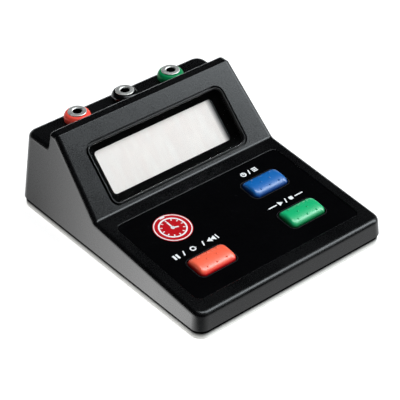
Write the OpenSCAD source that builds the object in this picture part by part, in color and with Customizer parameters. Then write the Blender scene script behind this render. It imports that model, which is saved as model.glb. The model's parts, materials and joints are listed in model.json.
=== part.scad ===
// Bench stopwatch with a sloping key panel, a tilted display and three 4 mm sockets.
// Millimetres: +X to the right, +Y to the back, +Z up, origin on the table under the middle.

/* [Case] */
// Width of the case at its lower edge
case_w = 102; // [92:1:120]
// Depth of the case at its lower edge
case_d = 122; // [112:1:140]
// Thickness of the case's walls
wall = 2.5; // [2:0.1:2.8]
// Lean of the case's outer walls, in degrees
draft = 4.9; // [3:0.1:6]
// Radius of the upright corners
corner_r = 5; // [3:0.5:7]
// Radius of the rounded upper edges
edge_r = 2.2; // [1.2:0.1:2.4]

/* [Key panel] */
// Height of the key panel above the seam, at the front
panel_h = 8.15; // [7.7:0.05:11]
// Slope of the key panel, in degrees
panel_slope = 4.9; // [4:0.1:7]
// Width of the overlay
overlay_w = 88.6; // [84:0.2:90]
// Distance from the panel's front edge to the overlay
overlay_s = 8.3; // [7.6:0.1:9]
// Distance from the overlay to the fold between key panel and display face
overlay_back = 6.2; // [5:0.1:8]
// Thickness of the overlay
overlay_t = 0.5; // [0.3:0.1:0.7]
// Depth of the recess that holds the overlay
overlay_recess = 0.8; // [0.5:0.1:1]
// Corner radius of the overlay
overlay_r = 3; // [1.5:0.5:4]

/* [Keys] */
// Width of a key at the panel
key_w = 18.6; // [14:0.2:20]
// Length of a key at the panel, front to back
key_l = 10.6; // [9:0.2:12]
// Corner radius of a key
key_r = 2; // [1:0.2:3]
// Height of a key's edges above the panel
key_rise = 1.5; // [1.2:0.1:3]
// Height of the crown above the key's edges
key_crown = 0.5; // [0.2:0.1:0.8]
// How far each side of a key leans in up to its top
key_taper = 0.7; // [0.2:0.1:1]
// Gap round a key in the panel
key_gap = 0.4; // [0.3:0.1:0.6]
// Distance of the keys from the middle
key_x = 24.8; // [22:0.2:26]
// Distance of the front keys from the panel's front edge
key_front_s = 23.3; // [22:0.2:25]
// Distance of the back key from the panel's front edge
key_back_s = 46.9; // [45:0.2:49]
// Travel of a key
key_travel = 1; // [0.5:0.1:1.2]
// Diameter of a grip pip
pip_d = 0.9; // [0.7:0.1:1.2]
// Distance between the pips of a row
pip_pitch = 5.1; // [4:0.1:5.4]
// Distance between the rows of pips
pip_row = 3.2; // [2.4:0.1:3.4]

/* [Display] */
// Tilt of the display face, in degrees
display_angle = 44.6; // [43:0.1:46]
// Height of the ridge above the seam
ridge_h = 41.5; // [40:0.1:46]
// Width of the flat top of the ridge
ridge_land = 4.9; // [4.4:0.1:6]
// Width of the window
window_w = 74.2; // [72:0.2:76]
// Length of the window along the slope
window_l = 27.9; // [27:0.1:29]
// Distance from the fold to the window's middle
window_s = 17.1; // [17:0.1:18]
// Corner radius of the window
window_r = 4.1; // [3:0.1:6]
// Thickness of the window
window_t = 2; // [1.6:0.1:2.1]
// How far the window stands out of the face
window_proud = 0.3; // [0.1:0.1:0.5]
// Gap round the window
window_gap = 0.35; // [0.2:0.05:0.5]
// Width of the ledge that carries the window
window_ledge = 1.2; // [0.8:0.1:1.6]
// Width of the visible display
view_w = 64.6; // [62:0.2:66]
// Length of the visible display along the slope
view_l = 20.1; // [19:0.1:21]
// Corner radius of the visible display
view_r = 1.5; // [0.5:0.1:3]
// How far the display glass reaches past the visible display at its sides
glass_side = 2.7; // [1:0.1:3.5]
// How far the display glass reaches past the visible display above and below
glass_end = 2.9; // [1:0.1:3.2]
// Thickness of the display glass
glass_t = 2.2; // [1.8:0.1:2.6]
// Depth of the display glass behind the display face
glass_depth = 4.9; // [4.2:0.1:5.4]

/* [Sockets] */
// Height of the socket shelf above the seam
shelf_h = 33.5; // [31:0.1:37]
// Length of the socket shelf, front to back
shelf_l = 16.2; // [15.4:0.1:20]
// Lean of the step between ridge and shelf, in degrees
step_lean = 7.8; // [4:0.1:9]
// Distance between the sockets
socket_pitch = 25.7; // [22:0.1:27]
// Distance of the sockets from the back edge of the shelf
socket_back = 7.6; // [7:0.1:8.4]
// Diameter of the sockets' bore
socket_bore = 4; // [3.8:0.1:4.2]
// Depth of the bore
bore_depth = 17; // [14:0.5:19]
// Diameter of the sleeve's ring
ring_d = 8.2; // [7.6:0.1:8.8]
// Thickness of the sleeve's ring
ring_t = 0.6; // [0.4:0.1:1]
// Diameter of the sleeve's thread
sleeve_d = 6; // [5.6:0.1:6.4]
// Length of a sleeve
sleeve_len = 22; // [20:0.5:23]
// Diameter of a collar at the shelf
collar_d = 11.6; // [11:0.1:13]
// Height of a collar above the shelf
collar_h = 4; // [3.4:0.1:5]

/* [Base] */
// Height of the feet below the base
foot_h = 0.5; // [0.3:0.1:1.2]
// Height of the visible strip of the base
band_h = 3; // [2.8:0.1:5]
// Height of the case's set-in foot, which shows as a dark line above the strip
seam_gap = 1.6; // [1:0.1:2]
// How far the strip is set in from the case
base_inset = 0.4; // [0.2:0.1:0.6]
// Thickness of the base's floor
floor_t = 2.2; // [2.1:0.1:2.6]
// Bevel along the base's lower edge
base_bevel = 0.4; // [0.3:0.1:1]
// Diameter of a foot
foot_d = 10; // [8:0.5:11]
// Diameter of a battery cell
cell_d = 10.5; // [10.5:0.1:10.8]
// Length of a battery cell with its button
cell_len = 44.5; // [44:0.1:46]
// Width of the battery door
door_w = 56; // [54:1:60]

/* [Fit] */
// Clearance between pieces that fit into each other
clear = 0.15; // [0.1:0.01:0.2]
// Diameter of the case screws
screw_d = 3; // [2.5:0.1:3.2]
// Length of the case screws below the head
screw_len = 8; // [7:0.5:8.5]

/* [Hidden] */
$fn = 64;
// Facets of a full turn on the case's rounded edges and on the pips
edge_fn = 48;
pip_fn = 24;
// Reach of a cut past the surface that it opens
over = 1;
// Depth to which solids of one piece run into each other
bond = 0.5;
// Thickness of the slices that the hulls join
slice = 0.01;

// Heights above the table
floor_top = foot_h + floor_t;
band_top = foot_h + band_h;
seam_z = band_top + seam_gap;

// The case's outline from the side: each face is a point and a heading in the Y Z plane
upwards = 90;
front_face = [[0, 0], upwards - draft];
panel_face = [[0, panel_h], panel_slope];
shelf_face = [[0, shelf_h], 0];
back_face = [[case_d, 0], draft - upwards];
shelf_back = meet(shelf_face, back_face);
step_face = [shelf_back - [shelf_l, 0], step_lean - upwards];
land_face = [[0, ridge_h], 0];
ridge_front = meet(step_face, land_face) - [ridge_land, 0];
display_face = [ridge_front, display_angle];
fold = meet(panel_face, display_face);
faces = [front_face, panel_face, display_face, land_face, step_face, shelf_face, back_face];
// How far the case's two halves run past the fold, into each other
fold_lap_front = 6;
fold_lap_back = 10;

function heading(a) = [cos(a), sin(a)];
function shifted(face, d) = [face[0] + d * [sin(face[1]), -cos(face[1])], face[1]];
function cross2(u, v) = u.x * v.y - u.y * v.x;
function meet(a, b) =
    let (u = heading(a[1]), v = heading(b[1]))
    a[0] + u * cross2(b[0] - a[0], v) / cross2(u, v);
function at_y(face, y) = face[0] + heading(face[1]) * (y - face[0].x) / cos(face[1]);
// Corners of the outline, drawn in by d
function outline(d) = [
    for (i = [0 : len(faces) - 2]) meet(shifted(faces[i], d), shifted(faces[i + 1], d))
];
// Half the case's width at a height above the seam
function half_w(z) = case_w / 2 - z * tan(draft);

// Key stack below the panel, as heights along the panel's normal
overlay_l = fold.x / cos(panel_slope) - overlay_s - overlay_back;
overlay_top = overlay_t - overlay_recess;
flange_t = 1;
flange_edge = 1.2;
post_h = 0.75;
post_d = 4;
pip_rise = 0.3;
stem_d = 3.5;
stem_free = 0.6;
stem_held = 0.5;
switch_w = 6;
switch_h = 2;
switch_r = 0.5;
flange_top = -wall - clear;
stem_top = flange_top - flange_t - post_h;
switch_top = stem_top - stem_free - key_travel;
key_board_top = switch_top - switch_h;
key_board_t = 1.2;
key_board_bottom = key_board_top - key_board_t;

// Fasteners
boss_d = 5;
boss_gap = 0.5;
thread_gap = 0.1;
board_screw_d = 2;
board_screw_len = 5;
pilot_grip = 0.2;
pilot_d = board_screw_d - pilot_grip;
pilot_spare = 1;
pilot_len = board_screw_len + pilot_spare;
board_hole_gap = 0.2;
board_hole_d = board_screw_d + 2 * board_hole_gap;
board_head_d = 3.8;
board_head_h = 1.3;
board_edge = 3.5;
board_r = 2;

// Places of the key board's bosses beside the keys, and the board's ends
key_boss_x = key_x + key_w / 2 + flange_edge + boss_gap + boss_d / 2;
key_boss_off = 7.2;
key_boss_s = [key_front_s - key_boss_off, key_back_s + key_boss_off];
key_board_s = [key_boss_s[0] - board_edge, key_boss_s[1] + board_edge];
key_board_w = 2 * (key_boss_x + board_edge);

// Display stack behind the display face, as heights along the face's normal
window_bottom = window_proud - window_t;
mouth_w = window_w - 2 * window_ledge;
mouth_l = window_l - 2 * window_ledge;
mouth_r = window_r - window_ledge;
glass_w = view_w + 2 * glass_side;
glass_l = view_l + 2 * glass_end;
glass_top = -glass_depth;
glass_bottom = glass_top - glass_t;
glass_r = 0.4;
strip_h = 2.5;
strip_w = 2;
strip_edge = 1;
strip_r = 0.3;
board_top = glass_bottom - strip_h;
board_t = 1.6;
board_bottom = board_top - board_t;
bezel_side = 4;
bezel_end = 1.5;
bezel_w = max(glass_w, mouth_w) + 2 * bezel_side;
bezel_l = max(glass_l, mouth_l) + 2 * bezel_end;
bezel_r = 2;
board_hold = 2.2;
board_hold_s = 10.5;
board_end = 1.3;
board_w = bezel_w;
board_l = bezel_l + 2 * board_end;
chip_w = 10;
chip_h = 1.6;
chip_r = 0.3;
crystal_x = -13;
crystal_w = 4.6;
crystal_l = 10.8;
crystal_h = 3.4;
crystal_r = 2.2;
capacitor_x = -19;
capacitor_y = 4;
capacitor_w = 3.2;
capacitor_l = 1.8;
capacitor_h = 1.2;
capacitor_r = 0.2;

// Sockets, as heights above the seam
socket_y = shelf_back.x - socket_back;
socket_xs = [-socket_pitch, 0, socket_pitch];
collar_top = shelf_h + collar_h;
collar_foot = 0.8;
collar_slope = 1.6;
collar_lean = 0.5;
collar_round = 0.2;
collar_seat = 0.4;
spigot_d = 7;
spigot_end = 0.5;
spigot_low = shelf_h - wall - spigot_end;
washer_d = 8.8;
washer_t = 1.5;
washer_top = shelf_h - wall;
tag_top = washer_top - washer_t;
tag_t = 0.5;
tag_d = 8.6;
tag_w = 3;
tag_reach = 10;
nut_top = tag_top - tag_t;
nut_t = 2.4;
nut_d = 10;
nut_sides = 6;
sleeve_top = collar_top + ring_t;
sleeve_low = sleeve_top - sleeve_len;

// Case screws, from their heads in the base up into the case's bosses
case_boss_d = 7;
thread_depth = 0.3;
case_pilot_d = screw_d - 2 * thread_depth;
head_edge = 1.4;
head_d = screw_d + 2 * head_edge;
head_h = 1.5;
head_sink = 0.3;
head_gap = 0.2;
head_seat = foot_h + head_sink + head_h;
case_pilot_len = head_seat + screw_len + pilot_spare - seam_z;
pillar_edge = 0.8;
pillar_d = case_boss_d + 2 * pillar_edge;
screw_side = 7.5;
screw_front = 8;
screw_back = 9;
case_screw_x = case_w / 2 - screw_side;
case_screw_ys = [screw_front, case_d - screw_back];

// Base and battery bay
rim_w = 4;
strip_inset = 0.6;
strip_in = wall / cos(draft);
lip_in = strip_in + 2 * clear;
lip_t = 1.2;
lip_h = 2.5;
least_r = 0.5;
foot_sink = 0.8;
foot_side = 11;
foot_front = 20;
foot_back = 21;
foot_x = case_w / 2 - foot_side;
foot_ys = [foot_front, case_d - foot_back];
bay_wall = 1.4;
contact_t = 0.4;
contact_bump = 1.9;
bump_d = 5;
contact_w = 8;
tab_w = 2;
tab_h = 2.5;
button_d = 3.8;
button_h = 1;
cell_back = 19;
cell_y = case_d - cell_back;
cell_gap = 0.3;
cell_lift = 0.2;
cell_z = floor_top + cell_lift + cell_d / 2;
cell_ys = [for (s = [-1, 1]) cell_y + s * (cell_d + cell_gap) / 2];
bay_l = cell_len + 2 * (contact_t + contact_bump + clear);
bay_w = 2 * cell_d + 3 * cell_gap;
bay_top = cell_z + cell_d / 2 + cell_gap;
bay_roof = bay_top + bay_wall;
contact_x = cell_len / 2 + clear + contact_bump + contact_t / 2;
tab_top = bay_roof + tab_h;
deck_t = 1.2;
deck_edge = 3;
door_lap = 2;
door_front = cell_y - bay_w / 2 - door_lap;
door_back = case_d - base_inset;
door_sink = 0.2;
door_t = floor_t - door_sink;
tongue_t = 0.7;
tongue_w = 1;
tongue_lift = 0.7;
tongue_z = foot_h + tongue_lift;
grip_count = 5;
grip_w = 16;
grip_l = 1;
grip_depth = 0.5;
grip_edge = 8;

// Leads and the flat cable
lead_d = 1.2;
lead_sides = 8;
lead_rings = 9;
tag_hold = 1;
socket_pad_s = 9;
battery_pad_s = [-7, 2];
ribbon_w = 20;
ribbon_t = 0.3;
ribbon_steps = 12;
ribbon_hold = 3;
ribbon_lead = 4;
ribbon_sag = 1;

// Frames: the case's front lower edge, the key panel and the display face
module in_case() {
    translate([0, -case_d / 2, seam_z]) children();
}

module in_base() {
    translate([0, -case_d / 2, 0]) children();
}

module on_panel() {
    in_case() translate([0, 0, panel_h]) rotate([panel_slope, 0, 0]) children();
}

module on_display() {
    in_case() translate([0, fold.x, fold.y]) rotate([display_angle, 0, 0]) children();
}

module rounded(w, l, r) {
    square([w - 2 * r, l], center = true);
    square([w, l - 2 * r], center = true);
    for (x = [-1, 1], y = [-1, 1]) translate([x * (w / 2 - r), y * (l / 2 - r)]) circle(r);
}

// A rounded plate between two heights
module plate(w, l, r, low, high) {
    translate([0, 0, low]) linear_extrude(high - low) rounded(w, l, r);
}

module upright(d, low, high) {
    translate([0, 0, low]) cylinder(d = d, h = high - low);
}

// A ball at both sides of the case, touching its leaning side walls
module edge_balls(p) {
    x = half_w(p.y) - edge_r / cos(draft);
    for (side = [-x, x]) translate([side, p.x, p.y]) sphere(edge_r, $fn = edge_fn);
}

// A rounded disc at both sides: a plan corner of the case with the edge's rounding on its rim
module corner_discs(p, to_back) {
    rim = corner_r - edge_r;
    x = half_w(p.y) - edge_r / cos(draft) - rim;
    for (side = [-x, x])
        translate([side, p.x + to_back * rim, p.y])
            rotate_extrude($fn = edge_fn) intersection() {
                translate([rim, 0]) circle(edge_r, $fn = edge_fn);
                translate([0, -edge_r]) square(2 * corner_r);
            }
}

module foot_corners(y) {
    for (side = [-1, 1])
        translate([side * (case_w / 2 - corner_r), y]) cylinder(r = corner_r, h = slice, $fn = edge_fn);
}

// The key half in front, the wedge of the display and the shelf behind it
module case_outside() {
    turn = outline(edge_r);
    ground = [[0, edge_r], 0];
    under_fold = at_y(shifted(display_face, edge_r), fold.x - fold_lap_front);
    behind_fold = at_y(shifted(panel_face, edge_r), fold.x + fold_lap_back);
    hull() {
        foot_corners(corner_r);
        foot_corners(case_d - corner_r);
        corner_discs(turn[0], 1);
        edge_balls(behind_fold);
    }
    hull() {
        edge_balls(under_fold);
        edge_balls(turn[2]);
        edge_balls(turn[3]);
        edge_balls(meet(shifted(step_face, edge_r), ground));
    }
    hull() {
        foot_corners(case_d - corner_r);
        corner_discs(turn[5], -1);
        edge_balls([ridge_front.x, shelf_h - edge_r]);
        edge_balls([ridge_front.x, edge_r]);
    }
}

module case_inside() {
    inner = outline(wall);
    opening = [[0, -over], 0];
    front = meet(shifted(front_face, wall), opening);
    back = meet(shifted(back_face, wall), opening);
    low = half_w(-over) - wall / cos(draft);
    high = half_w(ridge_h) - wall / cos(draft);
    intersection() {
        rotate([90, 0, 90])
            linear_extrude(2 * case_w, center = true)
                polygon(concat([front], inner, [back]));
        rotate([90, 0, 0])
            linear_extrude(4 * case_d, center = true)
                polygon([[-low, -over], [low, -over], [high, ridge_h], [-high, ridge_h]]);
    }
}

module key_places() {
    for (place = [[key_x, key_back_s], [key_x, key_front_s], [-key_x, key_front_s]])
        translate(place) children();
}

module key_opening(low, high) {
    plate(key_w + 2 * key_gap, key_l + 2 * key_gap, key_r + key_gap, low, high);
}

module overlay_place() {
    translate([0, overlay_s + overlay_l / 2]) children();
}

module window_place() {
    translate([0, window_s]) children();
}

module socket_place(i) {
    in_case() translate([socket_xs[i], socket_y]) children();
}

module case_screw_places() {
    for (x = [-case_screw_x, case_screw_x], y = case_screw_ys) translate([x, y]) children();
}

module key_board_places() {
    for (x = [-key_boss_x, key_boss_x], s = key_boss_s) translate([x, s]) children();
}

module display_board_places() {
    for (x = [-1, 1], s = [-1, 1])
        translate([x * (bezel_w / 2 - board_hold), window_s + s * board_hold_s]) children();
}

module foot_places() {
    for (x = [-foot_x, foot_x], y = foot_ys) translate([x, y]) children();
}

module case_bosses() {
    front_top = at_y(panel_face, case_screw_ys[0]).y - wall / 2;
    back_top = shelf_h - wall / 2;
    in_case()
        for (x = [-case_screw_x, case_screw_x]) {
            translate([x, case_screw_ys[0]]) upright(case_boss_d, 0, front_top);
            translate([x, case_screw_ys[1]]) upright(case_boss_d, 0, back_top);
        }
    on_panel() key_board_places() upright(boss_d, key_board_top, -wall / 2);
}

module case_holes() {
    in_case() case_screw_places() upright(case_pilot_d, -over, case_pilot_len);
    for (i = [0 : 2]) socket_place(i) upright(spigot_d + clear, shelf_h - wall - over, shelf_h + over);
    on_panel() {
        key_board_places() upright(pilot_d, key_board_top - over, key_board_top + pilot_len);
        key_places() key_opening(-wall - over, over);
        overlay_place() plate(overlay_w, overlay_l, overlay_r, -overlay_recess, over);
    }
    on_display() window_place() {
        plate(window_w + 2 * window_gap, window_l + 2 * window_gap, window_r + window_gap,
            window_bottom, over);
        plate(mouth_w, mouth_l, mouth_r, -wall - over, over);
    }
}

module upper_case() {
    color([0.06, 0.06, 0.065])
        difference() {
            union() {
                difference() {
                    in_case() case_outside();
                    in_case() case_inside();
                }
                case_bosses();
                in_base() base_ring(strip_inset, strip_in, band_top, seam_z + bond);
            }
            case_holes();
        }
}

module overlay_panel() {
    color([0.01, 0.01, 0.012])
        on_panel() difference() {
            overlay_place() plate(overlay_w - 2 * clear, overlay_l - 2 * clear, overlay_r - clear,
                -overlay_recess, overlay_top);
            key_places() key_opening(-overlay_recess - over, over);
        }
}

// A key: a crowned cap with pips, a skirt through the panel, a flange and a post below
module key() {
    half_l = key_l / 2 - key_taper;
    crown_r = (pow(half_l, 2) + pow(key_crown, 2)) / (2 * key_crown);
    top = key_rise + key_crown;
    intersection() {
        hull() {
            plate(key_w, key_l, key_r, overlay_top - slice, overlay_top);
            plate(key_w - 2 * key_taper, 2 * half_l, key_r - key_taper / 2, key_rise, top);
        }
        translate([0, 0, top - crown_r])
            rotate([0, 90, 0]) cylinder(r = crown_r, h = 2 * key_w, center = true);
    }
    plate(key_w, key_l, key_r, flange_top, overlay_top);
    plate(key_w + 2 * flange_edge, key_l + 2 * flange_edge, key_r, flange_top - flange_t, flange_top);
    upright(post_d, stem_top, flange_top - flange_t);
    for (row = [-1 : 1], i = [-1 : 1])
        if (row != 0 || i < 1)
            let (x = (i + (row == 0 ? 0.5 : 0)) * pip_pitch, y = row * pip_row)
            translate([x, y, top - crown_r + sqrt(pow(crown_r, 2) - pow(y, 2)) + pip_rise - pip_d / 2])
                sphere(d = pip_d, $fn = pip_fn);
}

module mode_key() {
    color([0.0, 0.36, 0.7]) on_panel() translate([key_x, key_back_s]) key();
}

module start_stop_key() {
    color([0.05, 0.68, 0.42]) on_panel() translate([key_x, key_front_s]) key();
}

module reset_key() {
    color([0.95, 0.32, 0.22]) on_panel() translate([-key_x, key_front_s]) key();
}

module stem() {
    upright(stem_d, switch_top - stem_held, stem_top);
}

module mode_stem() {
    color("black") on_panel() translate([key_x, key_back_s]) stem();
}

module start_stop_stem() {
    color("black") on_panel() translate([key_x, key_front_s]) stem();
}

module reset_stem() {
    color("black") on_panel() translate([-key_x, key_front_s]) stem();
}

module switch_bodies() {
    well = stem_held + key_travel + clear;
    color("dimgray")
        on_panel() key_places() difference() {
            plate(switch_w, switch_w, switch_r, key_board_top, switch_top);
            upright(stem_d + 2 * clear, switch_top - well, switch_top + over);
        }
}

module key_board() {
    middle = (key_board_s[0] + key_board_s[1]) / 2;
    color("darkgreen")
        on_panel() difference() {
            translate([0, middle])
                plate(key_board_w, key_board_s[1] - key_board_s[0], board_r,
                    key_board_bottom, key_board_top);
            key_board_places() upright(board_hole_d, key_board_bottom - over, key_board_top + over);
        }
}

module display_window() {
    color([0.85, 0.9, 0.92, 0.35])
        on_display() window_place() plate(window_w, window_l, window_r, window_bottom, window_proud);
}

module display_bezel() {
    color([0.02, 0.02, 0.02])
        on_display() difference() {
            window_place() difference() {
                plate(bezel_w, bezel_l, bezel_r, board_top, -wall);
                hull() {
                    plate(mouth_w, mouth_l, mouth_r, -wall, -wall + over);
                    plate(view_w, view_l, view_r, glass_top, glass_top + slice);
                }
                plate(glass_w + 2 * clear, glass_l + 2 * clear, glass_r + clear,
                    board_top - over, glass_top);
            }
            display_board_places() upright(pilot_d, board_top - over, board_top + pilot_len);
        }
}

module lcd_panel() {
    color([0.9, 0.9, 0.88])
        on_display() window_place() plate(glass_w, glass_l, glass_r, glass_bottom, glass_top);
}

module contact_strips() {
    color([0.85, 0.6, 0.6])
        on_display() window_place()
            for (side = [-1, 1])
                translate([0, side * (glass_l / 2 - strip_edge - strip_w / 2)])
                    plate(view_w, strip_w, strip_r, board_top, glass_bottom);
}

module display_board() {
    color("darkgreen")
        on_display() difference() {
            window_place() plate(board_w, board_l, board_r, board_bottom, board_top);
            display_board_places() upright(board_hole_d, board_bottom - over, board_top + over);
        }
}

module controller_chip() {
    color([0.1, 0.1, 0.1])
        on_display() window_place() plate(chip_w, chip_w, chip_r, board_bottom - chip_h, board_bottom);
}

module quartz_crystal() {
    color("silver")
        on_display() window_place() translate([crystal_x, 0])
            plate(crystal_w, crystal_l, crystal_r, board_bottom - crystal_h, board_bottom);
}

module board_capacitors() {
    color("tan")
        on_display() window_place()
            for (y = [-capacitor_y, capacitor_y])
                translate([capacitor_x, y])
                    plate(capacitor_w, capacitor_l, capacitor_r, board_bottom - capacitor_h, board_bottom);
}

// Sockets: a coloured collar on the shelf, a nickel sleeve through it, and what holds it below
module socket_collar() {
    difference() {
        union() {
            translate([0, 0, shelf_h]) rotate_extrude()
                polygon([
                    [0, 0], [collar_d / 2, 0], [collar_d / 2, collar_foot],
                    [collar_d / 2 - collar_lean, collar_h - collar_slope],
                    [ring_d / 2 + collar_seat, collar_h - collar_round],
                    [ring_d / 2 + collar_seat - collar_round, collar_h], [0, collar_h]
                ]);
            upright(spigot_d, spigot_low, shelf_h);
        }
        upright(sleeve_d + clear, spigot_low - over, collar_top + over);
    }
}

module socket_sleeve() {
    difference() {
        union() {
            upright(ring_d, collar_top, sleeve_top);
            upright(sleeve_d, sleeve_low, sleeve_top);
        }
        upright(socket_bore, sleeve_top - bore_depth, sleeve_top + over);
    }
}

module red_socket_collar() {
    color([0.9, 0.25, 0.2]) socket_place(0) socket_collar();
}

module black_socket_collar() {
    color([0.05, 0.05, 0.05]) socket_place(1) socket_collar();
}

module green_socket_collar() {
    color([0.05, 0.5, 0.3]) socket_place(2) socket_collar();
}

module red_socket_sleeve() {
    color("silver") socket_place(0) socket_sleeve();
}

module black_socket_sleeve() {
    color("silver") socket_place(1) socket_sleeve();
}

module green_socket_sleeve() {
    color("silver") socket_place(2) socket_sleeve();
}

module socket_washers() {
    color("ivory")
        for (i = [0 : 2]) socket_place(i) difference() {
            upright(washer_d, tag_top, washer_top);
            upright(spigot_d + clear, spigot_low, washer_top + over);
            upright(sleeve_d + clear, tag_top - over, washer_top);
        }
}

module socket_tags() {
    color("gold")
        for (i = [0 : 2]) socket_place(i) difference() {
            union() {
                upright(tag_d, nut_top, tag_top);
                translate([-tag_w / 2, -tag_reach, nut_top]) cube([tag_w, tag_reach, tag_t]);
            }
            upright(sleeve_d + clear, nut_top - over, tag_top + over);
        }
}

module socket_nuts() {
    color("silver")
        for (i = [0 : 2]) socket_place(i) difference() {
            translate([0, 0, nut_top - nut_t]) cylinder(d = nut_d, h = nut_t, $fn = nut_sides);
            upright(sleeve_d + clear, nut_top - nut_t - over, nut_top + over);
        }
}

function arc_point(a, b, c, t) = (1 - t) * (1 - t) * a + 2 * t * (1 - t) * b + t * t * c;
function arc_slope(a, b, c, t) = (1 - t) * (b - a) + t * (c - b);
function unit(v) = v / norm(v);

// A round lead in a plane of constant X, bent from one point to another
module lead(x, from, by, to) {
    last = (lead_rings - 1) * lead_sides;
    points = [
        for (k = [0 : lead_rings - 1])
            let (t = k / (lead_rings - 1), p = arc_point(from, by, to, t))
            let (u = unit(arc_slope(from, by, to, t)))
            for (j = [0 : lead_sides - 1])
                let (a = 360 * j / lead_sides, e = lead_d / 2 * sin(a))
                [x + lead_d / 2 * cos(a), p.x - e * u.y, p.y + e * u.x]
    ];
    walls = [
        for (k = [0 : lead_rings - 2], j = [0 : lead_sides - 1])
            let (a = k * lead_sides + j, b = k * lead_sides + (j + 1) % lead_sides)
            each [[a, b, b + lead_sides], [a, b + lead_sides, a + lead_sides]]
    ];
    ends = [
        for (j = [1 : lead_sides - 2]) each [[0, j + 1, j], [last, last + j, last + j + 1]]
    ];
    polyhedron(points, concat(walls, ends));
}

// A place on the back of the display board, in the case's Y Z plane
function board_spot(s, d) =
    fold + s * heading(display_angle) + (board_bottom - d) * [-sin(display_angle), cos(display_angle)];

module socket_leads() {
    tag_end = [socket_y - tag_reach + tag_hold, nut_top - lead_d / 2];
    pad = board_spot(window_s + socket_pad_s, lead_d / 2);
    color("crimson")
        in_case() for (x = socket_xs) lead(x, tag_end, [tag_end.x, pad.y], pad);
}

module battery_leads() {
    color("black")
        in_case() for (k = [0, 1]) {
            tab = [cell_ys[k] - tab_w / 2 - lead_d / 2, tab_top - seam_z - lead_d / 2];
            pad = board_spot(window_s + battery_pad_s[k], lead_d / 2);
            lead(contact_x, tab, [(tab.x + pad.x) / 2, max(tab.y, pad.y)], pad);
        }
}

// The flat cable, hung between the back edge of the key board and the lower edge of the other board
module board_ribbon() {
    key_end = [0, panel_h] + (key_board_s[1] - ribbon_hold) * heading(panel_slope)
        + key_board_bottom * [-sin(panel_slope), cos(panel_slope)];
    display_end = board_spot(window_s - board_l / 2 + ribbon_lead, 0);
    low = [display_end.x - ribbon_lead, key_end.y - ribbon_sag];
    path = [for (k = [0 : ribbon_steps]) arc_point(key_end, low, display_end, k / ribbon_steps)];
    under = [
        for (k = [ribbon_steps : -1 : 0])
            let (u = unit(arc_slope(key_end, low, display_end, k / ribbon_steps)))
            path[k] + ribbon_t * [u.y, -u.x]
    ];
    color("lightgray")
        in_case() rotate([90, 0, 90]) linear_extrude(ribbon_w, center = true) polygon(concat(path, under));
}

module screw(d, length, head, head_t) {
    upright(d, 0, length);
    upright(head, -head_t, 0);
}

module board_screw() {
    screw(pilot_d - thread_gap, board_screw_len, board_head_d, board_head_h);
}

module board_screws() {
    color("silver") {
        on_panel() key_board_places() translate([0, 0, key_board_bottom]) board_screw();
        on_display() display_board_places() translate([0, 0, board_bottom]) board_screw();
    }
}

// A plate of the case's outline, set in by an equal distance on all sides
module base_plate(inset, low, high) {
    r = max(corner_r + base_inset - inset, least_r);
    translate([0, case_d / 2]) plate(case_w - 2 * inset, case_d - 2 * inset, r, low, high);
}

module base_ring(outer, inner, low, high) {
    difference() {
        base_plate(outer, low, high);
        base_plate(inner, low - over, high + over);
    }
}

module battery_bay_outside() {
    w = bay_l + 2 * bay_wall;
    low = floor_top - bond;
    translate([-w / 2, cell_y - bay_w / 2 - bay_wall, low]) cube([w, bay_w + 2 * bay_wall, bay_roof - low]);
}

module battery_bay_inside() {
    translate([-bay_l / 2, cell_y - bay_w / 2, foot_h - over])
        cube([bay_l, bay_w, bay_top - foot_h + over]);
    for (y = cell_ys)
        translate([contact_x - contact_t / 2 - clear, y - tab_w / 2 - clear, bay_top - over])
            cube([contact_t + 2 * clear, tab_w + 2 * clear, bay_wall + 2 * over]);
}

// The floor of the bay, over the door, that joins the bay to the floor at its sides
module battery_deck() {
    front = door_front - deck_edge;
    translate([-door_w / 2 - deck_edge, front, floor_top - bond])
        cube([door_w + 2 * deck_edge, door_back - rim_w + bond - front, bond + deck_t]);
}

module door_slot() {
    slot_w = door_w + 2 * clear;
    tongue_slot = slot_w + 2 * tongue_w;
    translate([-slot_w / 2, door_front - clear, foot_h - over]) cube([slot_w, case_d, floor_t + over]);
    translate([-tongue_slot / 2, door_front - clear, tongue_z - clear])
        cube([tongue_slot, case_d, tongue_t + 2 * clear]);
}

// Base: a bevelled tray with a rim that carries the case, a lip inside it and the battery bay
module base_cover() {
    bevel_top = foot_h + base_bevel;
    color([0.8, 0.8, 0.78])
        in_base() difference() {
            union() {
                hull() {
                    base_plate(base_inset + base_bevel, foot_h, foot_h + slice);
                    base_plate(base_inset, bevel_top, bevel_top + slice);
                }
                base_plate(base_inset, bevel_top, floor_top);
                base_ring(base_inset, base_inset + rim_w, floor_top - bond, band_top);
                difference() {
                    base_ring(lip_in, lip_in + lip_t, floor_top, seam_z + lip_h);
                    case_screw_places() upright(case_boss_d + 2 * boss_gap, seam_z, seam_z + lip_h + over);
                }
                case_screw_places() upright(pillar_d, floor_top - bond, seam_z);
                battery_deck();
                battery_bay_outside();
            }
            battery_bay_inside();
            door_slot();
            case_screw_places() {
                upright(screw_d + 2 * head_gap, foot_h - over, seam_z + over);
                upright(head_d + 2 * head_gap, foot_h - over, head_seat);
            }
            foot_places() upright(foot_d + 2 * clear, foot_h - over, foot_h + foot_sink);
        }
}

module rubber_feet() {
    color([0.12, 0.12, 0.12]) in_base() foot_places() upright(foot_d, 0, foot_h + foot_sink);
}

module case_screws() {
    color("silver")
        in_base() case_screw_places()
            translate([0, 0, head_seat]) screw(case_pilot_d - thread_gap, screw_len, head_d, head_h);
}

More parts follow.
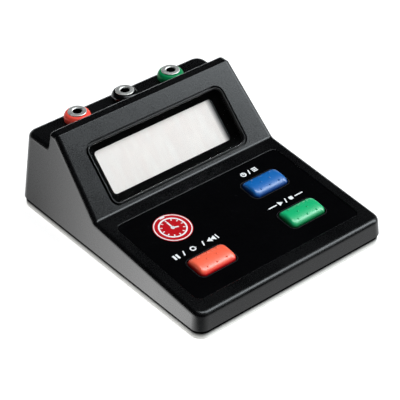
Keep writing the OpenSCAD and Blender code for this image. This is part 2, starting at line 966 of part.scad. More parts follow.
module battery_door() {
    color([0.8, 0.8, 0.78])
        in_base() difference() {
            union() {
                translate([-door_w / 2, door_front, foot_h]) cube([door_w, door_back - door_front, door_t]);
                translate([-door_w / 2 - tongue_w + clear, door_front, tongue_z])
                    cube([door_w + 2 * (tongue_w - clear), door_back - door_front - rim_w, tongue_t]);
            }
            for (k = [0 : grip_count - 1])
                translate([-grip_w / 2, door_back - grip_edge - 2 * k * grip_l, foot_h - over])
                    cube([grip_w, grip_l, over + grip_depth]);
        }
}

module battery_cells() {
    color([0.75, 0.6, 0.25])
        in_base() for (k = [0, 1])
            translate([0, cell_ys[k], cell_z]) rotate([0, k == 0 ? 90 : -90, 0])
                translate([0, 0, -cell_len / 2]) {
                    cylinder(d = cell_d, h = cell_len - button_h);
                    cylinder(d = button_d, h = cell_len);
                }
}

// One plate joins the cells at the left, and each has a plate with a tab at the right
module battery_contacts() {
    low = floor_top + deck_t;
    color("gold")
        in_base() {
            for (side = [-1, 1], y = cell_ys) {
                translate([side * contact_x - contact_t / 2, y - contact_w / 2, low])
                    cube([contact_t, contact_w, bay_top - low]);
                translate([side * (contact_x - contact_t / 2), y, cell_z]) rotate([0, -90 * side, 0])
                    cylinder(d = bump_d, h = contact_bump);
            }
            translate([-contact_x - contact_t / 2, cell_ys[0], low])
                cube([contact_t, cell_ys[1] - cell_ys[0], bay_top - low]);
            for (y = cell_ys)
                translate([contact_x - contact_t / 2, y - tab_w / 2, low])
                    cube([contact_t, tab_w, tab_top - low]);
        }
}

upper_case();
base_cover();
overlay_panel();
mode_key();
start_stop_key();
reset_key();
display_window();
display_bezel();
lcd_panel();
red_socket_collar();
black_socket_collar();
green_socket_collar();
red_socket_sleeve();
black_socket_sleeve();
green_socket_sleeve();
socket_washers();
socket_tags();
socket_nuts();
socket_leads();
display_board();
contact_strips();
controller_chip();
quartz_crystal();
board_capacitors();
key_board();
switch_bodies();
mode_stem();
start_stop_stem();
reset_stem();
board_ribbon();
board_screws();
battery_cells();
battery_contacts();
battery_leads();
battery_door();
case_screws();
rubber_feet();
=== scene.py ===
# %% [markdown]
# # A bench stopwatch with three sockets
# The stopwatch is a wedge of black plastic with a key panel in front, a tilted display behind it
# and a shelf with three 4 mm sockets at the back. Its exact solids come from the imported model,
# which is loaded first and never moved. This lesson then dresses it: the pieces whose edges catch
# the light get smooth skins of their own, and every surface gets a finish made of shader nodes.

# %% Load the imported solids
import json
import bmesh
import bpy
import numpy as np
from mathutils import Euler, Matrix, Vector
from mathutils.geometry import tessellate_polygon

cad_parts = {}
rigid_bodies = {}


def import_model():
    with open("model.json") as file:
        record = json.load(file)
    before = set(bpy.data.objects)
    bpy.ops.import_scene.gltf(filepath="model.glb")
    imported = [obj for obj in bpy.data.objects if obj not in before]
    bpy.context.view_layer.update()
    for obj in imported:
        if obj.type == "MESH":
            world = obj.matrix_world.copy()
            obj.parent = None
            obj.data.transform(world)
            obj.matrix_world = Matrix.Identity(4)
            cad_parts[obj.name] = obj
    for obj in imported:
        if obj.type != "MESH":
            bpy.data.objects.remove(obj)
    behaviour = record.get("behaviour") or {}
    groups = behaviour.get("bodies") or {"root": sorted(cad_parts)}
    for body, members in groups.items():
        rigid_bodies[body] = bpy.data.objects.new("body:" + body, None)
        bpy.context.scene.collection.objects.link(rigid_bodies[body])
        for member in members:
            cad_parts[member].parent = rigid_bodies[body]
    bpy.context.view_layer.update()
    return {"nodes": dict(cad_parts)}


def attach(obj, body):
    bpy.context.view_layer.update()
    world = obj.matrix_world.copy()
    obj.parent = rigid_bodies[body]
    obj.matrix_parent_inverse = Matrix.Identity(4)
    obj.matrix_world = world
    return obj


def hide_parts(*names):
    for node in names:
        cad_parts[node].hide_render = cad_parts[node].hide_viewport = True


MM = 0.001

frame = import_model()
nodes = frame["nodes"]
scene = bpy.context.scene
scene.view_settings.view_transform = "Standard"


# %% [markdown]
# ## The camera
# The photograph looks down on the front left corner with a long lens. A camera could be moved by
# eye until the edges agree. This one was worked out from the straight edges of the case, which is
# surer, so it is only written down: its place, its turn, its tip and its lens.

# %% Camera
camera_place = Vector((-0.3615, -0.4325, 0.4328))
camera_turn = np.radians(-39.929)
camera_tip = np.radians(36.74)
lens_mm, sensor_mm = 147.85, 36
far_end = 50

camera = bpy.data.objects.new("camera", bpy.data.cameras.new("camera"))
camera.data.lens = lens_mm
camera.data.sensor_width = sensor_mm
camera.data.clip_end = far_end
facing = Euler((np.pi / 2 - camera_tip, 0, camera_turn))
camera.matrix_world = Matrix.LocRotScale(camera_place, facing, None)
scene.collection.objects.link(camera)
scene.camera = camera
print("camera stands", round(camera_place.length / MM), "mm from the middle of the footprint")

# %% [markdown]
# ## From arrays to pieces
# A new piece is a set of patches: an array of points in millimetres and a list of faces. Blender's
# primitives would be quicker, but they don't know the slopes of this case. One helper joins the
# patches, welds the points that coincide, turns all faces outwards, and marks as sharp only the
# edges that really bend. A weighted normal keeps large flats flat beside small rounded edges,
# which is what makes a moulded part look moulded.

# %% Patches into a mesh
WELD = 2e-6
FLAT_WEIGHT = 100


def grid_faces(rows, columns, closed):
    """Quads between neighbouring rows and columns of a grid of points, numbered row by row.
    A closed grid also joins its last column to its first."""
    r = np.arange(rows - 1)[:, None]
    c = np.arange(columns if closed else columns - 1)[None, :]
    n = (c + 1) % columns
    quads = [r * columns + c, r * columns + n, (r + 1) * columns + n, (r + 1) * columns + c]
    return np.stack(quads, axis=-1).reshape(-1, 4).tolist()


def joined(patches):
    """All points in one array, and all faces with their numbers moved up to match."""
    starts = np.cumsum([0] + [len(points) for points, faces in patches])
    faces = [[int(i + start) for i in face]
             for start, patch in zip(starts, patches) for face in patch[1]]
    return np.concatenate([points for points, faces in patches]), faces


def make_piece(name, patches, material, body, stands_for=(), sharp=32):
    """One object from its patches: welded, closed, faces outwards, sharp above so many degrees."""
    points, faces = joined(patches)
    mesh = bpy.data.meshes.new(name)
    mesh.from_pydata((points * MM).tolist(), [], faces)
    shape = bmesh.new()
    shape.from_mesh(mesh)
    bmesh.ops.remove_doubles(shape, verts=shape.verts, dist=WELD)
    bmesh.ops.dissolve_degenerate(shape, edges=shape.edges, dist=WELD)
    bmesh.ops.recalc_face_normals(shape, faces=shape.faces)
    open_edges = sum(1 for edge in shape.edges if not edge.is_manifold)
    shape.to_mesh(mesh)
    shape.free()
    mesh.shade_smooth()
    mesh.set_sharp_from_angle(angle=np.radians(sharp))
    mesh.materials.append(material)
    piece = bpy.data.objects.new(name, mesh)
    scene.collection.objects.link(piece)
    flats = piece.modifiers.new("flats", "WEIGHTED_NORMAL")
    flats.keep_sharp = True
    flats.weight = FLAT_WEIGHT
    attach(piece, body)
    if stands_for:
        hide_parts(*stands_for)
    print(name, "has", len(mesh.polygons), "faces and", open_edges, "open edges")


print("a grid of 3 by 4 points has", len(grid_faces(3, 4, False)), "faces")

# %% [markdown]
# ## Short words for shader nodes
# A finish is a small network of nodes. Written out, each node takes a line to make, one for each
# setting and one for each link. A few helpers say the same in one line, because they feed an input
# with a plain value or with another node's socket.

# %% Node helpers
MIX_FIRST, MIX_SECOND, MIX_RESULT = 6, 7, 2


def put(tree, socket, item):
    """Feed an input: a socket is linked to it, a plain value is written into it."""
    if isinstance(item, bpy.types.NodeSocket):
        tree.links.new(item, socket)
    else:
        socket.default_value = item


def add_node(tree, kind, inputs, **settings):
    """A shader node of that kind, with its settings made first and its inputs fed."""
    node = tree.nodes.new("ShaderNode" + kind)
    for label, value in settings.items():
        setattr(node, label, value)
    for label, item in inputs.items():
        put(tree, node.inputs[label], item)
    return node


def mapped(tree, value, low, high, to_low, to_high):
    """A Map Range node: low..high becomes to_low..to_high, and stays between these ends."""
    ends = {"From Min": low, "From Max": high, "To Min": to_low, "To Max": to_high}
    return add_node(tree, "MapRange", {"Value": value, **ends}).outputs["Result"]


def noise(tree, vector, scale, detail):
    """A Noise Texture on that vector."""
    inputs = {"Vector": vector, "Scale": scale, "Detail": detail}
    return add_node(tree, "TexNoise", inputs).outputs["Fac"]


def worked_out(tree, operation, *values):
    """A Math node on two or three values."""
    return add_node(tree, "Math", dict(enumerate(values)), operation=operation).outputs[0]


def blend(tree, mask, first, second):
    """A colour between two, by a mask."""
    inputs = {"Factor": mask, MIX_FIRST: first, MIX_SECOND: second}
    return add_node(tree, "Mix", inputs, data_type="RGBA").outputs[MIX_RESULT]


def tone(r, g, b):
    """A display colour of 0 to 255 as linear light: c / 12.92 up to 0.04045, and above it
    ((c + 0.055) / 1.055)^2.4."""
    c = np.array([r, g, b]) / 255
    linear = np.where(c <= 0.04045, c / 12.92, ((c + 0.055) / 1.055) ** 2.4)
    return (*linear.tolist(), 1.0)


print("a middle grey of 128 is", round(tone(128, 128, 128)[0], 3), "in linear light")

# %% [markdown]
# ## The finishes' shared effects
# Moulded plastic has a fine spark grain, whose sheen drifts in soft clouds. Metal has fine lines
# from the lathe or the roll. Some pieces are painted darker at one end, as painted shade, such as
# a key at its foot. A painted picture would show this on one piece and at one size only. So each
# effect is a node group, built once: it gives out a mask, a roughness or a height that changes
# over the surface, and each material sets its own values.

# %% Node groups
ORIGIN = (0, 0, 0)
NOISE_LOW, NOISE_HIGH = 0.3, 0.7
fine_share = 0.6
fine_detail, cloud_detail, line_detail = 3, 4, 2
line_stretch = (0.04, 1, 1)


def group_with(name, inputs, outputs):
    """An empty shader group: inputs with their defaults, a vector where the default is one, and
    float outputs. Gives the group, the sockets that come in and those that go out."""
    group = bpy.data.node_groups.new(name, "ShaderNodeTree")
    for label, value in inputs.items():
        kind = "NodeSocketVector" if isinstance(value, tuple) else "NodeSocketFloat"
        socket = group.interface.new_socket(label, in_out="INPUT", socket_type=kind)
        socket.default_value = value
    for label in outputs:
        group.interface.new_socket(label, in_out="OUTPUT", socket_type="NodeSocketFloat")
    ends = [group.nodes.new("NodeGroup" + side) for side in ("Input", "Output")]
    return group, ends[0].outputs, ends[1].inputs


def give_out(group, given, wanted, value, height):
    """Spread a noise value to a mask and to a roughness between limits, and pass on a height."""
    span = NOISE_LOW, NOISE_HIGH
    put(group, wanted["Mask"], mapped(group, value, *span, 0, 1))
    rough = mapped(group, value, *span, given["Smooth"], given["Rough"])
    put(group, wanted["Roughness"], rough)
    put(group, wanted["Height"], height)


effects = ["Mask", "Roughness", "Height"]
limits = {"Smooth": 0.4, "Rough": 0.5}
grain_inputs = {"Vector": ORIGIN, "Grain Scale": 2500, "Cloud Scale": 60, **limits}
grain, given, wanted = group_with("moulded_grain", grain_inputs, effects)
fine = noise(grain, given["Vector"], given["Grain Scale"], fine_detail)
cloud = noise(grain, given["Vector"], given["Cloud Scale"], cloud_detail)
clouds = worked_out(grain, "MULTIPLY", cloud, 1 - fine_share)
give_out(grain, given, wanted, worked_out(grain, "MULTIPLY_ADD", fine, fine_share, clouds), fine)

line_inputs = {"Vector": ORIGIN, "Line Scale": 900, **limits}
lines, given, wanted = group_with("drawn_lines", line_inputs, effects)
stretch = {"Vector": given["Vector"], "Scale": line_stretch}
stretched = add_node(lines, "Mapping", stretch).outputs["Vector"]
drawn = noise(lines, stretched, given["Line Scale"], line_detail)
give_out(lines, given, wanted, drawn, drawn)

# This group carries painted shade: a mask along one direction that darkens a finish.
shade_inputs = {"Vector": ORIGIN, "Direction": (0, 0, 1), "Start": 0, "End": 1}
shade, given, wanted = group_with("shade_along", shade_inputs, ["Mask"])
factors = {0: given["Vector"], 1: given["Direction"]}
reach = add_node(shade, "VectorMath", factors, operation="DOT_PRODUCT").outputs["Value"]
put(shade, wanted["Mask"], mapped(shade, reach, given["Start"], given["End"], 0, 1))
print("groups:", grain.name, lines.name, shade.name)

# %% [markdown]
# ## Two kinds of finish
# A plastic, rubber, ink or lacquer is two near tones mixed by the grain's mask. A metal is the
# same with drawn lines and a metallic shader. Each could have a network of its own, but they differ
# only in values, so two functions make them. Every finish below is one line, next to the piece that
# wears it, with its colours as they look, from 0 to 255.

# %% Finishes
def finish_of(name, group, values, first, second, bump, metallic=0, specular=0.5):
    """A material: the group's mask mixes two tones, its roughness and height go to the shader."""
    material = bpy.data.materials.new(name + "_finish")
    material.use_nodes = True
    tree = material.node_tree
    shader = tree.nodes["Principled BSDF"].inputs
    place = add_node(tree, "TexCoord", {}).outputs["Object"]
    effect = add_node(tree, "Group", {"Vector": place, **values}, node_tree=group).outputs
    relief = add_node(tree, "Bump", {"Distance": bump * MM, "Height": effect["Height"]})
    put(tree, shader["Base Color"], blend(tree, effect["Mask"], tone(*first), tone(*second)))
    put(tree, shader["Roughness"], effect["Roughness"])
    put(tree, shader["Normal"], relief.outputs["Normal"])
    put(tree, shader["Metallic"], metallic)
    put(tree, shader["Specular IOR Level"], specular)
    return material


def moulded(name, first, second, smooth, rough, scale=2500, bump=0.01, specular=0.5):
    """A plastic-like finish: two tones and the limits of its roughness, then the grain's scale, its
    bump in millimetres and the shader's specular level."""
    values = {"Grain Scale": scale, "Smooth": smooth, "Rough": rough}
    return finish_of(name, grain, values, first, second, bump, specular=specular)


def drawn_metal(name, first, second, smooth, rough, bump=0.004):
    """A metal with drawn lines: two tones and the limits of its roughness."""
    values = {"Smooth": smooth, "Rough": rough}
    return finish_of(name, lines, values, first, second, bump, metallic=1)


# Every use of this paints shade: the colour that the finish runs into is darker and stands for
# shade.
def shaded_to(material, colour, direction, start, end):
    """Let a finish run into a colour along a direction, from start to end in millimetres."""
    tree = material.node_tree
    base = tree.nodes["Principled BSDF"].inputs["Base Color"]
    place = tree.nodes["Texture Coordinate"].outputs["Object"]
    values = {"Vector": place, "Direction": direction, "Start": start * MM, "End": end * MM}
    mask = add_node(tree, "Group", values, node_tree=shade).outputs["Mask"]
    put(tree, base, blend(tree, mask, base.links[0].from_socket, tone(*colour)))


case_plastic = moulded("case_plastic", (2, 2, 3), (9, 9, 10), 0.2, 0.36, 2200, 0.012, 0.36)
print("the first finish is", case_plastic.name)

# %% [markdown]
# ## The case's outline from the side
# The case is best understood from the side: seven straight faces, each a point and a heading. A
# list of corners would do, but a change of one slope would then move only one of them. So each
# corner is worked out where two neighbours cross. The sizes are those of the solid model, in
# millimetres, with y from the front edge and z from the seam above the base.

# %% Side outline
case_w = 102
case_d = 122
wall = 2.5
draft = np.radians(4.9)
corner_r = 5
edge_r = 2.2
seam_z = 5.1
panel_h = 8.15
slope = np.radians(4.9)
tilt = np.radians(44.6)
step_lean = np.radians(7.8)
ridge_h, ridge_land = 41.5, 4.9
shelf_h, shelf_l = 33.5, 16.2


def heading(a):
    """The unit step (cos a, sin a) along a heading."""
    return np.array([np.cos(a), np.sin(a)])


def inward(a):
    """The unit step to the right of a heading, (sin a, -cos a), which points into the case."""
    return np.stack([np.sin(a), -np.cos(a)], axis=-1)


def meet(a, b):
    """Where two lines, each a point and a heading, cross: a + t u = b + s v, solved for t."""
    both = np.column_stack([heading(a[1]), -heading(b[1])])
    return a[0] + heading(a[1]) * np.linalg.solve(both, b[0] - a[0])[0]


def drawn_in(face, d):
    """The same line moved into the case by d."""
    return face[0] + d * inward(face[1]), face[1]


upright = np.pi / 2
front_face = (np.array([0.0, 0.0]), upright - draft)
back_face = (np.array([case_d, 0.0]), draft - upright)
panel_face = (np.array([0.0, panel_h]), slope)
shelf_face = (np.array([0.0, shelf_h]), 0.0)
land_face = (np.array([0.0, ridge_h]), 0.0)
shelf_back = meet(shelf_face, back_face)
step_face = (shelf_back - [shelf_l, 0], step_lean - upright)
ridge_front = meet(step_face, land_face) - [ridge_land, 0]
display_face = (ridge_front, tilt)
fold = meet(panel_face, display_face)
side_faces = [front_face, panel_face, display_face, land_face, step_face, shelf_face, back_face]
print("fold at", np.round(fold, 2), "ridge from", np.round(ridge_front, 2))

# %% [markdown]
# ## Places on the case
# Keys and windows sit on sloping faces. They could be built flat and turned as objects, but then
# their patterns would turn with them in the export. So a piece is drawn in its face's own frame, x
# across, s up the slope and h square to it, and its points are carried into place.

# %% Places on the case
def half_width(z):
    """Half the case's width at z above the seam, w / 2 - z tan(draft): the side walls lean in."""
    return case_w / 2 - z * np.tan(draft)


def in_case(p):
    """From the case's own millimetres to the shared frame."""
    return p + [0, -case_d / 2, seam_z]


def on_slope(p, start, angle):
    """(x, s, h) on a sloping face: s runs up the slope from its start, h stands square to it, so
    y = y0 + s cos(angle) - h sin(angle) and z = z0 + s sin(angle) + h cos(angle)."""
    x, s, h = p.T
    y = start[0] + s * np.cos(angle) - h * np.sin(angle)
    z = start[1] + s * np.sin(angle) + h * np.cos(angle)
    return in_case(np.column_stack([x, y, z]))


def on_panel(p):
    """A point of the key panel's own frame."""
    return on_slope(p, (0, panel_h), slope)


def on_display(p):
    """A point of the display face's own frame."""
    return on_slope(p, fold, tilt)


def placed(patches, place):
    """The same patches with their points carried through a placing function."""
    return [(place(points), faces) for points, faces in patches]


print("the display face starts at", np.round(on_display(np.zeros((1, 3)))[0], 2))

# %% [markdown]
# ## The front and back walls of the skin
# The upper edges of the case are rounded as if a ball had been rolled along inside them. A bevel
# on the solid would do that too, but breaks where a long flat edge runs into a round corner. So
# the skin is drawn from the path of the ball's centre, one radius away from it. At the front and at
# the back the centre also goes round a quarter turn in plan, which gives the upright corners their
# larger radius.

# %% End walls
turn_steps = 8
wall_rows = 6
quarter = np.linspace(0, np.pi / 2, turn_steps + 1)


def both_sides(half):
    """Rows of points of the right half, from the side inwards, set behind their mirror image."""
    return np.concatenate([half * [-1, 1, 1], half[:, ::-1]], axis=1)


def end_wall(inset, edge, corner, wall_face, top_face, toward):
    """The front wall (toward -1) or the back wall (toward +1), from the foot up over its top edge.
    The ball's centre C(g) follows a quarter turn of radius corner - edge in plan. The skin over it
    is C + w e(g) - edge sin(f) n, where e(g) points outwards in plan and n into the top face, and
    w = edge cos(f) / cos(draft) + (own height below C) tan(draft) lets the wall lean. The last
    term of the height keeps the top row in the plane of the top face."""
    rim = corner - edge
    f = quarter[:, None]
    g = quarter
    turn = meet(drawn_in(wall_face, inset + edge), drawn_in(top_face, inset + edge))
    y = turn[0] - toward * rim * (1 - np.sin(g))
    z = turn[1] + (y - turn[0]) * np.tan(top_face[1])
    x = half_width(z) - (inset + edge) / np.cos(draft) - rim * (1 - np.cos(g))
    top_y, top_z = inward(top_face[1])
    w = edge * np.cos(f) / np.cos(draft) + edge * np.sin(f) * top_z * np.tan(draft)
    out = toward * w * np.sin(g)
    nose_y = y - edge * np.sin(f) * top_y + out
    nose_z = z - edge * np.sin(f) * top_z + out * np.sin(f) * np.tan(top_face[1])
    nose = np.stack([x + w * np.cos(g), nose_y, nose_z], axis=-1)
    foot_x = half_width(0) - inset / np.cos(draft) - corner * (1 - np.cos(g))
    foot_y = wall_face[0][0] - toward * (inset / np.cos(draft) + corner * (1 - np.sin(g)))
    foot = np.stack([foot_x, foot_y, 0 * g], axis=-1)
    t = np.linspace(0, 1, wall_rows)[:-1, None, None]
    return both_sides(np.concatenate([foot + t * (nose[0] - foot), nose]))


print("rows and columns of an end wall:",
      end_wall(0, edge_r, corner_r, front_face, panel_face, -1).shape[:2])

# %% [markdown]
# ## The skin between them
# Between the walls the ball follows the side outline: up the panel, the display and the ridge and
# down to the shelf. One radius for all bends would be simpler, but each bend has its own: soft in
# the fold below the display, tight in front of the ridge and wider behind it. The same functions
# with other values draw the inner skin, one wall further in.

# %% Body of the skin
round_steps = 9
bend_radii = [2.1, 0.4, 1.4, 0.5]
inner_r = 0.3


def body_rows(inset, edge, corner):
    """The skin between the two end walls, row by row along the outline. For each f from the side
    to the top, the side view is the outline drawn in by inset + edge (1 - sin f), with its corners
    rounded to match, and x = half width - (inset + edge (1 - cos f)) / cos(draft)."""
    rim = corner - edge
    path = [drawn_in(face, inset + edge) for face in side_faces]
    ends = [meet(*path[:2]), meet(*path[-2:])]
    columns = []
    for f in quarter:
        depth = inset + edge * (1 - np.sin(f))
        faces = [drawn_in(face, depth) for face in side_faces]
        rise = edge * np.sin(f)
        points = [ends[0] + rim * heading(slope) / np.cos(slope) - rise * inward(slope)]
        for first, second, radius in zip(faces[1:-2], faces[2:-1], bend_radii):
            bend = second[1] - first[1]
            r = radius + depth if bend > 0 else -max(min(radius, edge) - depth + inset, 0)
            a = np.linspace(first[1], second[1], round_steps)
            to_middle = np.tan(bend / 2) * heading(first[1]) + inward(first[1])
            points.extend(meet(first, second) - r * to_middle + r * inward(a))
        points.append(ends[1] - [rim, 0] - rise * inward(0))
        columns.append(points)
    yz = np.transpose(columns, (1, 0, 2))
    x = half_width(yz[..., 1]) - (inset + edge * (1 - np.cos(quarter))) / np.cos(draft)
    return both_sides(np.concatenate([x[..., None], yz], axis=-1))


def skin(inset, edge, corner):
    """Front wall, body and back wall of one skin."""
    return (end_wall(inset, edge, corner, front_face, panel_face, -1),
            body_rows(inset, edge, corner),
            end_wall(inset, edge, corner, back_face, shelf_face, 1))


outer_skin = skin(0, edge_r, corner_r)
inner_skin = skin(wall, inner_r, corner_r - wall)
print("rows and columns of the skin's body:", outer_skin[1].shape[:2])

# %% [markdown]
# ## The skin's faces
# The grids become quads. The panel and the display are left open, because they get recesses, and
# their outlines are read off the skin, so that the flats fit it point for point. Flats of their own
# laid over the skin would be easier, but they would leave a slit or a double wall.

# %% Faces of the skin
def skin_patches(front, body, rear):
    """The skin's quads without panel and display, its two flat sides and the end of the shelf."""
    rows, columns = body.shape[:2]
    middle = columns // 2 - 1
    open_quads = [row * (columns - 1) + middle for row in (0, round_steps)]
    quads = [q for i, q in enumerate(grid_faces(rows, columns, False)) if i not in open_quads]
    patches = [(body.reshape(-1, 3), quads)]
    for end in (front, rear):
        patches.append((end.reshape(-1, 3), grid_faces(*end.shape[:2], False)))
    for k in (0, -1):
        side = np.concatenate([front[:wall_rows, k], body[1:-1, k], rear[:wall_rows, k][::-1]])
        patches.append((side, [list(range(len(side)))]))
    patches.append((rear[-1], [list(range(columns))]))
    return placed(patches, in_case)


def on_face(points, start, angle):
    """Points of a sloping face in that face's own (x, s): s = (y - y0) cos + (z - z0) sin."""
    s = (points[:, 1] - start[0]) * np.cos(angle) + (points[:, 2] - start[1]) * np.sin(angle)
    return np.column_stack([points[:, 0], s])


def face_loops(front, body):
    """The outlines of the panel, with its two round corners, and of the display face."""
    middle = body.shape[1] // 2 - 1
    pair = [middle + 1, middle]
    panel = np.concatenate([front[-1], body[1, pair]])
    display = np.concatenate([body[round_steps, pair[::-1]], body[round_steps + 1, pair]])
    return on_face(panel, (0, panel_h), slope), on_face(display, fold, tilt)


panel_outer, display_outer = face_loops(*outer_skin[:2])
panel_inner, display_inner = face_loops(*inner_skin[:2])
print("panel is", np.ptp(panel_outer[:, 1]).round(1), "mm long, display face",
      np.ptp(display_outer[:, 1]).round(1), "mm")

# %% [markdown]
# ## Loops, walls and flats
# Most outlines here are rounded rectangles, so one function gives their points in order. A stack of
# such loops, each with its own size and height, makes a key, a pane or the rim of a recess. A flat
# face with holes is cut into triangles by Blender's own polygon filler, which is surer than a
# boolean.

# %% Loops and flats
def rounded_loop(w, l, r, corner=8, side=0):
    """Points round a rectangle of w by l with corner radius r: centre plus r times (cos, sin) over
    each quarter turn, then evenly spaced points along the straight side up to the next quarter."""
    a = np.linspace(0, np.pi / 2, corner + 1)[None, :] + np.arange(4)[:, None] * np.pi / 2
    x = (w / 2 - r) * np.array([1, -1, -1, 1])[:, None] + r * np.cos(a)
    y = (l / 2 - r) * np.array([1, 1, -1, -1])[:, None] + r * np.sin(a)
    arcs = np.stack([x, y], axis=-1)
    ends = arcs[:, -1:]
    t = (np.arange(1, side + 1) / (side + 1))[None, :, None]
    straights = ends + t * (np.roll(arcs[:, :1], -1, axis=0) - ends)
    return np.concatenate([arcs, straights], axis=1).reshape(-1, 2)


def grown(size, d, middle, corner=8):
    """A rounded rectangle, given as width, length and radius, grown by d all round a middle."""
    w, l, r = size
    return rounded_loop(w + 2 * d, l + 2 * d, r + d, corner) + np.asarray(middle)


def rim_wall(size, d, middle, r, top, low, toward=1, steps=5, corner=8):
    """The loops and heights of a wall with a rounded rim, from the top to a low end: the outline
    grown by d + toward r (1 - sin a) at the height top + r (cos a - 1), then straight down."""
    a = np.linspace(0, np.pi / 2, steps)
    loops = [grown(size, d + toward * g, middle, corner) for g in r * (1 - np.sin(a))]
    return loops + loops[-1:], [*(top + r * (np.cos(a) - 1)), low]


def stack(loops, heights):
    """A wall through loops of equal count, each at its height: one row of the grid per loop."""
    rows = [np.column_stack([loop, np.broadcast_to(h, len(loop))])
            for loop, h in zip(loops, heights)]
    return np.concatenate(rows), grid_faces(len(rows), len(rows[0]), True)


def cap(loop, height):
    """One flat face over a loop."""
    return np.column_stack([loop, np.full(len(loop), height)]), [list(range(len(loop)))]


def flat_face(outer, holes, height):
    """A flat face inside the outer loop with the holes left out, as triangles."""
    loops = [outer] + holes
    flat = [[Vector((x, y, 0)) for x, y in loop] for loop in loops]
    points = np.concatenate(loops)
    triangles = [list(t) for t in tessellate_polygon(flat)]
    return np.column_stack([points, np.full(len(points), height)]), triangles


def sheet(walls):
    """A thin closed sheet: a wall round its outline and round each hole, and its two flat faces."""
    patches = [stack(*wall) for wall in walls]
    for k in (0, -1):
        outline, *holes = [loops[k] for loops, heights in walls]
        patches.append(flat_face(outline, holes, walls[0][1][k]))
    return patches


key_size = (18.6, 10.6, 2)
print("a key's loop has", len(rounded_loop(*key_size)), "points")

# %% [markdown]
# ## Recesses of the key panel and the display
# The film on the key panel lies in a shallow recess with three openings for the keys, and the
# window in a deeper one with a ledge. A boolean could cut them, but it leaves a knife edge, and a
# moulding has none. As stacks of loops they start with a small rounded rim, which shows as a fine
# bright line.

# %% Recesses
film_size = (88.6, 54.2, 3)
film_middle = (0, 35.4)
film_depth, film_rim_r = 0.8, 0.3
key_gap, key_rim = 0.4, 0.12
key_places = {"mode": (24.8, 46.9), "start_stop": (24.8, 23.3), "reset": (-24.8, 23.3)}
window_size = (74.5, 29.1, 4.1)
window_middle = (-0.4, 16.5)
window_gap, window_rim_r = 0.35, 0.05
window_low = -1.7
ledge = 1.2

film_loops, film_heights = rim_wall(film_size, 0, film_middle, film_rim_r, 0, -film_depth)
openings = [grown(key_size, key_gap, place) for place in key_places.values()]
opening_rims = [grown(key_size, key_gap + key_rim, place) for place in key_places.values()]
window_loops, window_heights = rim_wall(window_size, window_gap, window_middle, window_rim_r, 0,
                                        window_low)
mouth = grown(window_size, -ledge, window_middle)

panel_patches = [
    flat_face(panel_outer, [film_loops[0]], 0),
    stack(film_loops, film_heights),
    flat_face(film_loops[-1], opening_rims, -film_depth),
    flat_face(panel_inner, openings, -wall),
] + [stack([rim, hole, hole], [-film_depth, -film_depth - key_rim, -wall])
     for rim, hole in zip(opening_rims, openings)]
display_patches = [
    flat_face(display_outer, [window_loops[0]], 0),
    stack(window_loops + [mouth, mouth], window_heights + [window_low, -wall]),
    flat_face(display_inner, [mouth], -wall),
]
print("patches of the two faces:", len(panel_patches) + len(display_patches))

# %% [markdown]
# ## Closing the case
# The foot of the case is set in a little and runs down to the base. It is matt black with almost
# no sheen, as painted shade in the gap, and shows as a black line between the two, so it is a ring
# of its own below the closed edge of the shell. Inside stand the bosses that take the screws, each
# a turned tube that runs into the wall above it. A skin could do without them, but with them the
# dressed case is the same moulding as the solid one.

# %% Case
strip_inset, strip_h = 0.6, 1.6
boss_sides = 32
screw_x, screw_rows = 43.5, ((8, 7.6), (113, 32.2))
screw_boss, screw_bore, screw_top = 7, 2.4, 6.2
board_x, board_rows = 38.3, (16.1, 54.1)
board_boss, board_bore, board_heights = 5, 1.8, (-8, -1.3, -2)
# This sheenless black serves the real bezel, and the seam ring as painted shade in the gap.
bezel_plastic = moulded("bezel_plastic", (2, 2, 2), (4, 4, 4), 0.5, 0.65, 2600, 0.01, 0.01)


def foot_loop(front, body, rear):
    """The lowest loop of a skin: along the front wall and back along the rear wall."""
    return np.concatenate([front[0], rear[0][::-1]])


def ring_through(loops):
    """A closed band through loops of equal count."""
    return in_case(np.concatenate(loops)), grid_faces(len(loops), len(loops[0]), True)


def turned_part(profile, sides=64):
    """A lathe: each (radius, height) of the profile goes round as (r cos a, r sin a, h)."""
    a = np.linspace(0, 2 * np.pi, sides, endpoint=False)
    r, h = np.asarray(profile, float).T
    x = r[:, None] * np.cos(a)
    y = r[:, None] * np.sin(a)
    z = np.broadcast_to(h[:, None], x.shape)
    return np.stack([x, y, z], axis=-1).reshape(-1, 3), grid_faces(len(r), sides, True)


def boss(d, bore, low, high, bore_top):
    """A tube closed above: the outside with its top, and the wall and end of its blind bore."""
    outside = [(bore / 2, low), (d / 2, low), (d / 2, high), (0, high)]
    inside = [(bore / 2, low), (bore / 2, bore_top), (0, bore_top)]
    return [turned_part(outside, boss_sides), turned_part(inside, boss_sides)]


strip_skin = skin(strip_inset, edge_r, corner_r)
outer_foot, strip_foot, inner_foot = [foot_loop(*s) for s in (outer_skin, strip_skin, inner_skin)]
drop = [0, 0, strip_h]
seam_loops = [strip_foot, strip_foot - drop, inner_foot - drop, inner_foot, strip_foot]
case_patches = skin_patches(*outer_skin) + skin_patches(*inner_skin)
case_patches += placed(panel_patches, on_panel) + placed(display_patches, on_display)
case_patches.append(ring_through([outer_foot, inner_foot]))
for side in (-1, 1):
    for y, high in screw_rows:
        tube = boss(screw_boss, screw_bore, 0, high, screw_top)
        case_patches += placed(tube, lambda p: in_case(p + [side * screw_x, y, 0]))
    for s in board_rows:
        tube = boss(board_boss, board_bore, *board_heights)
        case_patches += placed(tube, lambda p: on_panel(p + [side * board_x, s, 0]))
make_piece("case_shell", case_patches, case_plastic, "case", ["upper_case"])
# Painted shade: the seam ring's sheenless black stands for the shade in the gap above the base.
make_piece("seam_ring", [ring_through(seam_loops)], bezel_plastic, "case")

